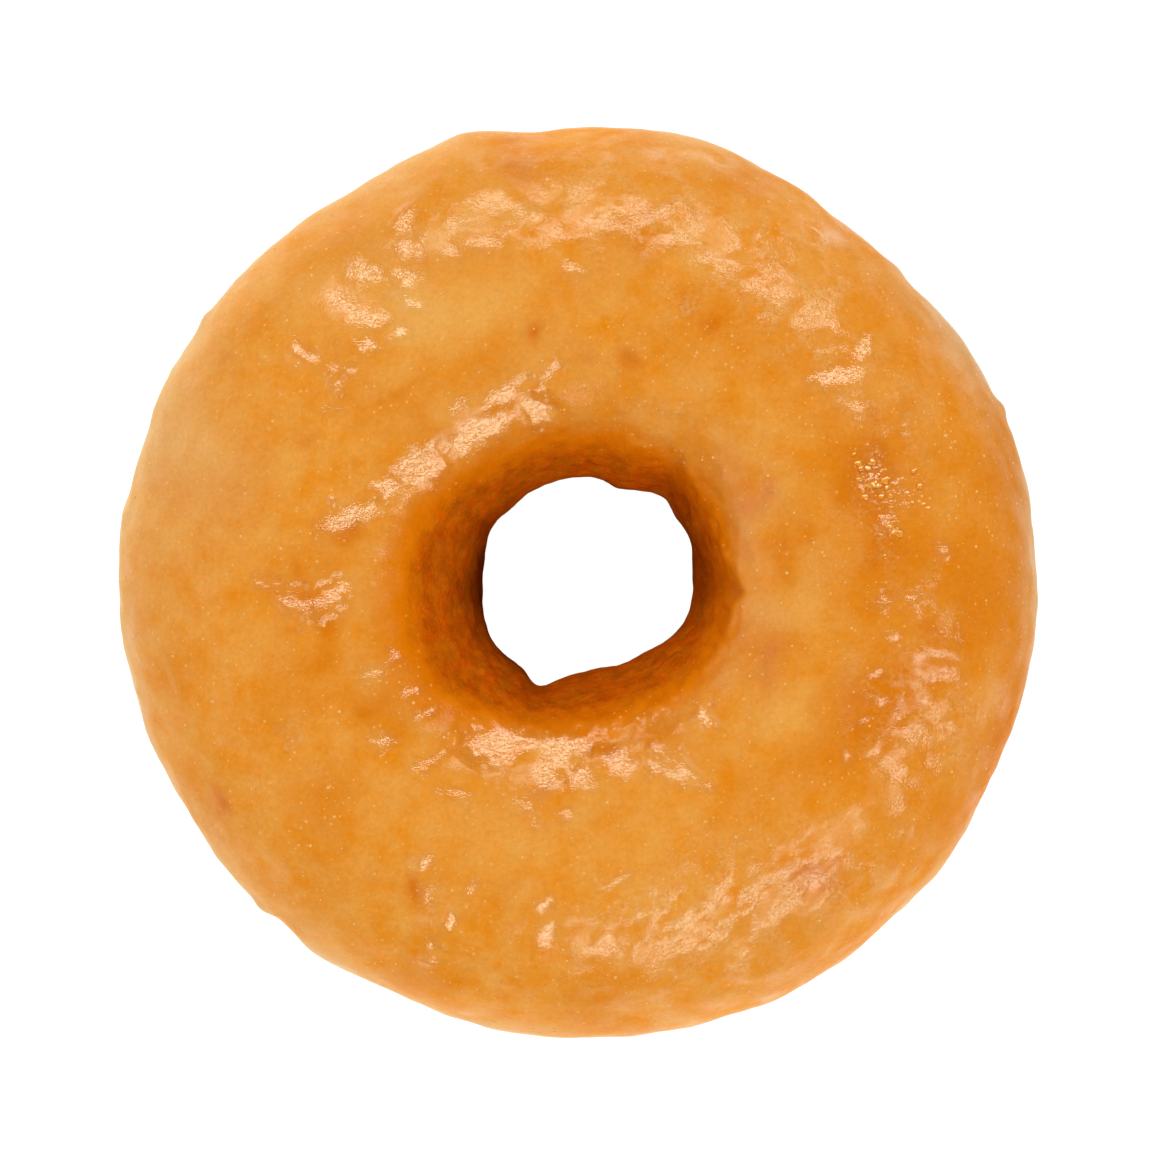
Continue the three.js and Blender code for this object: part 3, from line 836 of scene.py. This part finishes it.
tree.links.new(bump.outputs["Normal"], shader.inputs["Normal"])
tree.links.new(bump.outputs["Normal"], shader.inputs["Coat Normal"])
tree.links.new(wet, shader.inputs["Coat Weight"])
set_all_over(shader, {"Roughness": 0.5, "Specular IOR Level": 0.0,
                      "Coat Roughness": 0.06, "Coat IOR": 1.73})
crust.data.materials.append(material)
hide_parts("doughnut")
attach(crust, "root")

# ------------------------------------------------------------
# The bubbles. Fine beads of air that rose through the glaze and set just under its skin, as pale
# shiny specks. Each is a small ball whose middle lies a little under the skin of the crust.
# ------------------------------------------------------------
BUBBLE_COUNT = 900
BUBBLE_RADII = (0.08, 0.23)  # mm
BUBBLE_POWER = 2.5  # the higher, the fewer are large
BUBBLE_SUNK = 0.35  # how much of its radius the middle lies under the skin
BUBBLE_FLATNESS = 0.8
BUBBLE_GRID = (6, 3)  # points round a ball, and rings of them between its poles
BUBBLE_CROWDING = 0.8  # how unevenly they are strewn
BUBBLE_CROWD_SIZE = 9  # mm
BUBBLE_HEIGHTS = (18, 23)  # none are below the first, and they are as many as can be above
BUBBLE_WALL_GAP = 2  # mm from the edge of the wall over which they come in


def ball(columns, rows):
    """A closed unit ball: a pole, rings of points going down it, and a pole."""
    down = np.pi * np.arange(1, rows + 1) / (rows + 1)
    round_it = 2 * np.pi * np.arange(columns) / columns
    down, round_it = np.meshgrid(down, round_it, indexing="ij")
    rings = np.stack([np.sin(down) * np.cos(round_it), np.sin(down) * np.sin(round_it),
                      np.cos(down)], axis=-1).reshape(-1, 3)
    points = np.concatenate([[[0, 0, 1]], rings, [[0, 0, -1]]])
    now = 1 + np.arange(rows * columns).reshape(rows, columns)
    after = np.roll(now, -1, axis=1)
    top, foot = np.zeros(columns, int), np.full(columns, len(points) - 1)
    cap = np.stack([top, now[0], after[0]], axis=-1)
    belts = np.stack([now[:-1], now[1:], after[1:], after[:-1]], axis=-1).reshape(-1, 4)
    base = np.stack([now[-1], foot, after[-1]], axis=-1)
    return points, (cap, belts, base)


def scatter_balls(name, middles, normals, radii, flatness, grid, ragged=0.0):
    """One mesh of many small balls, flattened along their normals.

    A ragged ball's points are pushed out and in by lumps of about its own size."""
    points, face_groups = ball(*grid)
    helper = np.where(np.abs(normals[:, :1]) < 0.9, [[1.0, 0, 0]], [[0, 1.0, 0]])
    side = np.cross(normals, helper)
    side /= np.linalg.norm(side, axis=1, keepdims=True)
    frames = np.stack([side, np.cross(normals, side), normals * flatness], axis=1)
    offsets = radii[:, None, None] * np.einsum("pk,nkj->npj", points, frames)
    if ragged:
        lumps = wave_field(middles[:, None] + offsets, 2 * radii.mean(), seed=53)
        offsets *= 1 + ragged * lumps[..., None]
    first_point = np.arange(len(middles))[:, None, None] * len(points)
    faces = []
    for group in face_groups:
        faces += (group + first_point).reshape(-1, group.shape[1]).tolist()
    return make_piece(name, middles[:, None] + offsets, faces)


def draw_radii(draw, smallest, largest, count, power):
    """Radii between the smallest and the largest: an even draw raised to a power."""
    return smallest + (largest - smallest) * draw.uniform(0, 1, count) ** power


area = np.linalg.norm(np.cross(np.roll(skin, -1, axis=0) - skin,
                               np.roll(skin, -1, axis=1) - skin), axis=-1)
draw = np.random.default_rng(51)
chance = area * smooth_step(*BUBBLE_HEIGHTS, skin[..., 2])
chance *= smooth_step(wall_edge, wall_edge + BUBBLE_WALL_GAP, from_hole)
chance *= np.exp(uneven(plain, BUBBLE_CROWDING, BUBBLE_CROWD_SIZE, seed=52))
chance = chance.ravel()
picked = draw.choice(len(chance), BUBBLE_COUNT, p=chance / chance.sum())
radii = draw_radii(draw, *BUBBLE_RADII, BUBBLE_COUNT, BUBBLE_POWER)
normals = grid_normals(skin).reshape(-1, 3)[picked]
middles = skin.reshape(-1, 3)[picked] - normals * (radii * BUBBLE_SUNK)[:, None]
bubbles = scatter_balls("glaze_bubbles", middles, normals, radii, BUBBLE_FLATNESS, BUBBLE_GRID)

# Sugar tones: set sugar is paler where it is thicker, so its colour drifts from place to place.
# Each material gives the number of lumps to a metre.
sugar_tones, given, result = new_group("sugar_tones", ["Scale"], "Share", "NodeSocketFloat")
tone = put(sugar_tones, "ShaderNodeTexNoise", {"Vector": given["Place"], "Scale": given["Scale"],
                                               "Detail": 2.0, "Roughness": 0.6})
sugar_tones.links.new(between(sugar_tones, tone.outputs["Fac"], 0.35, 0.65), result)

BUBBLE_PALE = srgb(251, 198, 126)
BUBBLE_AMBER = srgb(242, 173, 86)
BUBBLE_TONE_SIZE = 0.0011

material, tree, shader = new_material("glaze_bubbles")
place = put(tree, "ShaderNodeTexCoord").outputs["Object"]
share = use_group(tree, sugar_tones, {"Place": place, "Scale": 1 / BUBBLE_TONE_SIZE})
colour = blend_colours(tree, share, BUBBLE_AMBER, BUBBLE_PALE)
tree.links.new(colour, shader.inputs["Base Color"])
set_all_over(shader, {"Roughness": 0.5, "Specular IOR Level": 0.1})
bubbles.data.materials.append(material)
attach(bubbles, "root")

# ------------------------------------------------------------
# The blisters. Where the glaze pooled in the hollow on the right it set over a froth. The bubbles
# burst and left small glassy flakes of sugar, deep orange and tipped this way and that.
# ------------------------------------------------------------
BLISTER_COUNT = 28
BLISTER_RADII = (0.2, 0.52)  # mm
BLISTER_POWER = 1.5  # the higher, the fewer are large
BLISTER_FLATNESS = 0.24
BLISTER_RAGGED = 0.3
BLISTER_GRID = (12, 7)  # points round a ball, and rings of them between its poles
BLISTER_TIP = (0.0, -0.42)  # how most of them tip: the rise of Z along X and along Y
BLISTER_TIP_SPREAD = 0.11
# Where they lie: x, y, half-width and how many.
FROTH_PATCHES = [
    (27.8, 10.8, 1.3, 1.0), (29.8, 8.4, 2.1, 0.9), (29.3, 5.2, 0.9, 1.0), (32.5, 8.5, 1.2, 0.4),
]

draw = np.random.default_rng(61)
chance = (area * on_top * spots_at(plain, FROTH_PATCHES)).ravel()
picked = draw.choice(len(chance), BLISTER_COUNT, p=chance / chance.sum())
radii = draw_radii(draw, *BLISTER_RADII, BLISTER_COUNT, BLISTER_POWER)
tips = np.array(BLISTER_TIP) + BLISTER_TIP_SPREAD * draw.normal(size=(BLISTER_COUNT, 2))
normals = np.concatenate([-tips, np.ones((BLISTER_COUNT, 1))], axis=1)
normals /= np.linalg.norm(normals, axis=1, keepdims=True)
middles = skin.reshape(-1, 3)[picked]
blisters = scatter_balls("glaze_blisters", middles, normals, radii, BLISTER_FLATNESS,
                         BLISTER_GRID, BLISTER_RAGGED)

BLISTER_ORANGE = srgb(234, 138, 12)
BLISTER_PALE = srgb(247, 172, 52)
BLISTER_TONE_SIZE = 0.0004

material, tree, shader = new_material("glaze_blisters")
place = put(tree, "ShaderNodeTexCoord").outputs["Object"]
share = use_group(tree, sugar_tones, {"Place": place, "Scale": 1 / BLISTER_TONE_SIZE})
colour = blend_colours(tree, share, BLISTER_ORANGE, BLISTER_PALE)
tree.links.new(colour, shader.inputs["Base Color"])
set_all_over(shader, {"Roughness": 0.5, "Specular IOR Level": 0.0, "Coat Weight": 1.0,
                      "Coat Roughness": 0.05, "Coat IOR": 1.85})
blisters.data.materials.append(material)
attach(blisters, "root")

# ------------------------------------------------------------
# The table: a large plain white sheet that lies flat under the doughnut, and glows so that it
# stays white round the doughnut's edge. It isn't part of the doughnut.
# ------------------------------------------------------------
FLOOR_HALF = 4.0
TABLE_GREY = (0.8, 0.8, 0.8, 1)
TABLE_WHITE = (1, 1, 1, 1)
TABLE_GLOW = 0.9  # how much of the table's own white the camera sees, over its shading
TABLE_GLOW_STRENGTH = 1.13
# The table's glow also lights the doughnut from below, as a lamp would. Under the doughnut the
# glow is left out, a painted shadow, and past its rim it is full.
TABLE_BOUNCE = 0.85  # the light that the bright table throws back up
SHADOW_RADII = (0.028, 0.050)  # the table is dark below the doughnut, and bright past its rim

floor_mesh = bpy.data.meshes.new("floor")
floor_mesh.from_pydata([(-FLOOR_HALF, -FLOOR_HALF, 0), (FLOOR_HALF, -FLOOR_HALF, 0),
                        (FLOOR_HALF, FLOOR_HALF, 0), (-FLOOR_HALF, FLOOR_HALF, 0)],
                       [], [(0, 1, 2, 3)])
floor = bpy.data.objects.new("floor", floor_mesh)
bpy.context.scene.collection.objects.link(floor)
material, tree, shader = new_material("white_table")
set_all_over(shader, {"Base Color": TABLE_GREY, "Roughness": 0.9, "Emission Color": TABLE_WHITE})
place = put(tree, "ShaderNodeTexCoord").outputs["Object"]
out = calculate_vector(tree, "LENGTH", {0: place})["Value"]
bounce = between(tree, out, *SHADOW_RADII, 0.0, TABLE_BOUNCE)
tree.links.new(bounce, shader.inputs["Emission Strength"])
glow = put(tree, "ShaderNodeEmission", {"Color": TABLE_WHITE, "Strength": TABLE_GLOW_STRENGTH})
seen = put(tree, "ShaderNodeLightPath").outputs["Is Camera Ray"]
both = put(tree, "ShaderNodeMixShader", {0: calculate(tree, "MULTIPLY", seen, TABLE_GLOW),
                                         1: shader.outputs["BSDF"], 2: glow.outputs["Emission"]})
surface = next(node for node in tree.nodes if node.bl_idname == "ShaderNodeOutputMaterial")
tree.links.new(both.outputs["Shader"], surface.inputs["Surface"])
floor.data.materials.append(material)

# ------------------------------------------------------------
# The light: two softboxes, one beyond the doughnut and one near it on the right, a wide dim
# one that fills from the left, and a dim room.
# ------------------------------------------------------------
# Each softbox: its name, azimuth and elevation in degrees, width and height, and radiance.
SOFTBOXES = [
    ("far_softbox", 87, 44, 0.71, 0.20, 6.0),
    ("near_softbox", -55, 45, 0.71, 0.20, 6.0),
    ("left_fill", 188, 35, 0.8, 0.5, 1.25),
]
SOFTBOX_DISTANCE = 0.70
WARM = (0.97, 0.95, 0.78)
ROOM_WHITE = (1, 1, 1, 1)
ROOM_STRENGTH = 0.18


def add_softbox(name, azimuth_degrees, elevation_degrees, width, height, radiance):
    """A plain rectangular light that faces the doughnut, as bright as its radiance says."""
    light = bpy.data.lights.new(name, "AREA")
    light.shape = "RECTANGLE"
    light.size = width
    light.size_y = height
    light.energy = radiance * np.pi * width * height
    light.color = WARM
    lamp = bpy.data.objects.new(name, light)
    bpy.context.scene.collection.objects.link(lamp)
    turn, rise = np.radians(azimuth_degrees), np.radians(elevation_degrees)
    lamp.location = SOFTBOX_DISTANCE * np.array([np.cos(rise) * np.cos(turn),
                                                 np.cos(rise) * np.sin(turn), np.sin(rise)])
    lamp.rotation_euler = (np.pi / 2 - rise, 0, turn + np.pi / 2)
    lamp.visible_camera = False


for softbox in SOFTBOXES:
    add_softbox(*softbox)

world = bpy.data.worlds.new("room")
world.use_nodes = True
set_all_over(world.node_tree.nodes["Background"], {"Color": ROOM_WHITE, "Strength": ROOM_STRENGTH})
bpy.context.scene.world = world

# ------------------------------------------------------------
# The camera looks straight down at the doughnut, through a long lens, from as far up as takes
# in the whole ring with white table round it.
# ------------------------------------------------------------
LENS = 100.0
SENSOR = 36.0
CAMERA_HEIGHT = 0.3385
CAMERA_OFF_CENTRE = (0.00025, 0.00005)
NEAREST_SEEN = 0.01

camera_data = bpy.data.cameras.new("camera")
camera_data.lens = LENS
camera_data.sensor_width = SENSOR
camera_data.clip_start = NEAREST_SEEN
camera = bpy.data.objects.new("camera", camera_data)
camera.location = (*CAMERA_OFF_CENTRE, CAMERA_HEIGHT)
bpy.context.scene.collection.objects.link(camera)
bpy.context.scene.camera = camera
bpy.context.scene.view_settings.view_transform = "Standard"
